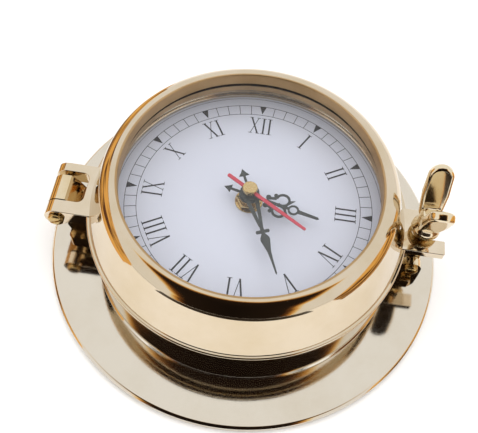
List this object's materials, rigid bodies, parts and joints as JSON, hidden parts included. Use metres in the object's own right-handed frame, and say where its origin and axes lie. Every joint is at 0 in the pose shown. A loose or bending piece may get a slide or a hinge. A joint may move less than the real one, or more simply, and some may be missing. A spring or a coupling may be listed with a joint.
{
  "type": "ship's deck clock",
  "caption": "Brass porthole wall or deck clock with a hinged glazed door held by a swing bolt and wing nut, and a battery movement.",
  "frame": {"origin": "centre of the mounting flange's flat back face", "axes": "+Z out of the dial towards the reader, +Y towards twelve o'clock, +X towards the latch, hinge at -X"},
  "size_m": [0.1778, 0.1778, 0.0647],
  "materials": {
    "polished_brass": "mirror polished",
    "plain_brass": "satin, slightly aged",
    "rubber": "matt",
    "glass": "clear, polished",
    "dial_paper": "printed matt card",
    "dial_aluminium": "mill finish",
    "black_plastic": "fine texture",
    "white_plastic": "satin",
    "steel": "satin",
    "copper_wire": "lacquered wire",
    "board": "solder mask",
    "battery_wrap": "shrink film",
    "black_enamel": "gloss",
    "red_enamel": "gloss"
  },
  "bodies": {
    "case": {"mounting_flange": "polished_brass", "case_drum": "polished_brass", "hinge_bracket": "polished_brass", "hinge_pin": "plain_brass", "latch_bracket": "polished_brass", "latch_pivot_pin": "plain_brass", "hinge_screw_1": "plain_brass", "hinge_screw_2": "plain_brass", "latch_screw_1": "plain_brass", "latch_screw_2": "plain_brass", "door_seal": "rubber", "dial_seat_ring": "plain_brass", "dial_plate": "dial_aluminium", "dial_card": "dial_paper", "dial_retaining_ring": "polished_brass", "movement_front_case": "black_plastic", "movement_rear_case": "black_plastic", "middle_plate": "white_plastic", "threaded_bush": "polished_brass", "dial_cushion_washer": "rubber", "bush_washer": "polished_brass", "bush_nut": "polished_brass", "coil": "copper_wire", "stator": "steel", "circuit_board": "board", "quartz_crystal": "steel", "aa_battery": "battery_wrap", "battery_contact_plus": "steel", "battery_contact_minus": "steel"},
    "door": {"bezel_ring": "polished_brass", "glass_gasket": "rubber", "glass": "glass", "glass_retaining_ring": "plain_brass"},
    "swing_bolt": {"swing_bolt": "polished_brass"},
    "clamp_washer": {"clamp_washer": "plain_brass"},
    "wing_nut": {"wing_nut": "polished_brass"},
    "seconds_arbor": {"seconds_wheel": "steel", "second_hand": "red_enamel", "second_hand_cap": "polished_brass"},
    "intermediate": {"intermediate_wheel": "white_plastic"},
    "rotor": {"rotor": "steel"},
    "third": {"third_wheel": "white_plastic"},
    "minute_wheel": {"minute_wheel": "white_plastic"},
    "minute_arbor": {"cannon_pinion": "plain_brass", "minute_hand": "black_enamel"},
    "motion_wheel": {"motion_wheel": "white_plastic"},
    "hour_pipe": {"hour_wheel": "white_plastic", "hour_hand": "black_enamel"},
    "set_knob": {"set_knob": "white_plastic"}
  },
  "joints": [
    {"name": "door_hinge", "type": "hinge", "parent": "case", "child": "door", "pos_m": [-0.0815, -0.0035, 0.027], "axis": [0, -1, 0], "range_deg": [0, 115]},
    {"name": "dog_swing", "type": "hinge", "parent": "case", "child": "swing_bolt", "pos_m": [0.0765, 0, 0.0102], "axis": [0, 1, 0], "range_deg": [0, 100]},
    {"name": "nut_lift", "type": "slide", "parent": "swing_bolt", "child": "clamp_washer", "axis": [0, 0, 1], "range_m": [-0.0024, 0.0031]},
    {"name": "nut_spin", "type": "hinge", "parent": "clamp_washer", "child": "wing_nut", "pos_m": [0.0765, 0, 0.036], "axis": [0, 0, 1], "range_deg": [-828, 1080]},
    {"name": "second_spin", "type": "hinge", "parent": "case", "child": "seconds_arbor", "pos_m": [0, 0, 0.024], "axis": [0, 0, -1], "continuous": true},
    {"name": "intermediate_spin", "type": "hinge", "parent": "case", "child": "intermediate", "pos_m": [-0.00621, 0.00794, 0.022], "axis": [0, 0, -1], "continuous": true},
    {"name": "rotor_spin", "type": "hinge", "parent": "case", "child": "rotor", "pos_m": [-0.01327, 0.01202, 0.022], "axis": [0, 0, -1], "continuous": true},
    {"name": "third_spin", "type": "hinge", "parent": "case", "child": "third", "pos_m": [0.0115, 0.00419, 0.026], "axis": [0, 0, -1], "continuous": true},
    {"name": "minute_wheel_spin", "type": "hinge", "parent": "case", "child": "minute_wheel", "pos_m": [0, 0, 0.028], "axis": [0, 0, -1], "continuous": true},
    {"name": "minute_spin", "type": "hinge", "parent": "case", "child": "minute_arbor", "pos_m": [0, 0, 0.03], "axis": [0, 0, -1], "continuous": true},
    {"name": "motion_spin", "type": "hinge", "parent": "case", "child": "motion_wheel", "pos_m": [-0.0096, 0, 0.03], "axis": [0, 0, -1], "continuous": true},
    {"name": "hour_spin", "type": "hinge", "parent": "case", "child": "hour_pipe", "pos_m": [0, 0, 0.032], "axis": [0, 0, -1], "continuous": true},
    {"name": "knob_spin", "type": "hinge", "parent": "case", "child": "set_knob", "pos_m": [-0.01905, 0.00167, 0.03], "axis": [0, 0, -1], "continuous": true}
  ],
  "couplings": [
    {"joint": "nut_lift", "follows": "nut_spin", "m_per_rad": 0.00015915},
    {"joint": "intermediate_spin", "follows": "second_spin", "ratio": -6},
    {"joint": "rotor_spin", "follows": "second_spin", "ratio": 30},
    {"joint": "third_spin", "follows": "second_spin", "ratio": -0.13333},
    {"joint": "minute_wheel_spin", "follows": "second_spin", "ratio": 0.016667},
    {"joint": "motion_spin", "follows": "minute_spin", "ratio": -0.33333},
    {"joint": "hour_spin", "follows": "minute_spin", "ratio": 0.083333},
    {"joint": "knob_spin", "follows": "minute_spin", "ratio": 1}
  ]
}
